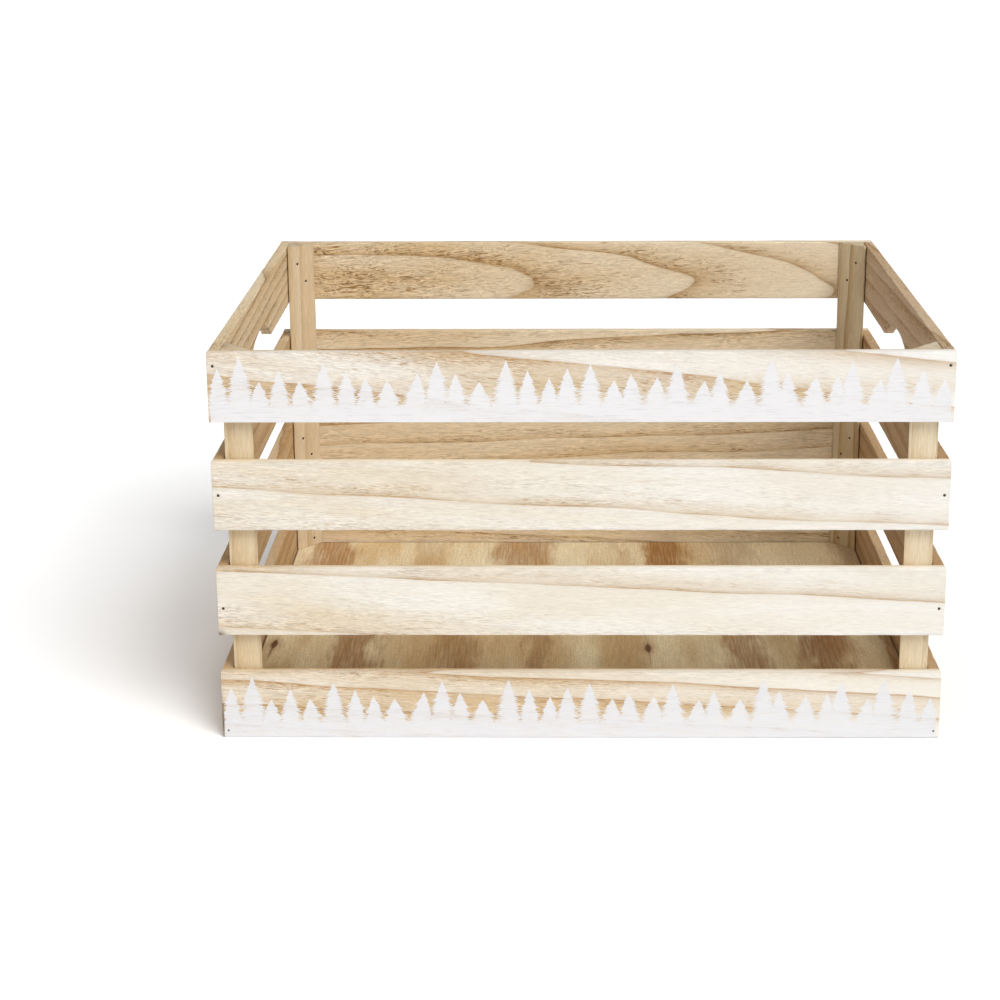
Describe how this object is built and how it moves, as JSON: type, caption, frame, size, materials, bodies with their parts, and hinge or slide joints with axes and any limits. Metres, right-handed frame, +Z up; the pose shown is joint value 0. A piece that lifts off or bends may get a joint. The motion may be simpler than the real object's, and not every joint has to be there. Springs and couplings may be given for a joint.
{
  "type": "kindling box",
  "caption": "Open-topped slatted wooden box for kindling, nailed round triangular corner posts over a plywood bottom, with an arched hand hold at each end.",
  "frame": {"origin": "on the ground under the middle of the box", "axes": "+X to the right along the painted front, +Y from the front to the back, +Z up"},
  "size_m": [0.47, 0.35, 0.262],
  "materials": {
    "pale_slat": "bare sawn softwood, very pale; the top and bottom front slats carry white paint",
    "tan_slat": "bare sawn softwood, tan with darker grain",
    "corner_post": "bare sawn softwood strip, straight grained",
    "plywood": "bare plywood with brown mineral stain and small knots",
    "brad_steel": "dull steel, slightly rusted",
    "white_paint": "thin matt white paint, stencilled on the top and bottom front slats"
  },
  "bodies": {
    "root": {"front_slat_1": "pale_slat", "front_slat_2": "pale_slat", "front_slat_3": "pale_slat", "front_slat_4": "pale_slat", "back_slat_1": "tan_slat", "back_slat_2": "tan_slat", "back_slat_3": "tan_slat", "back_slat_4": "tan_slat", "left_slat_1": "tan_slat", "left_slat_2": "tan_slat", "left_slat_3": "tan_slat", "left_slat_4": "tan_slat", "right_slat_1": "tan_slat", "right_slat_2": "tan_slat", "right_slat_3": "tan_slat", "right_slat_4": "tan_slat", "front_left_post": "corner_post", "front_right_post": "corner_post", "back_left_post": "corner_post", "back_right_post": "corner_post", "bottom_panel": "plywood", "front_corner_brads": "brad_steel", "back_corner_brads": "brad_steel", "front_left_post_brads": "brad_steel", "front_right_post_brads": "brad_steel", "back_left_post_brads": "brad_steel", "back_right_post_brads": "brad_steel", "floor_brads": "brad_steel"}
  },
  "joints": []
}
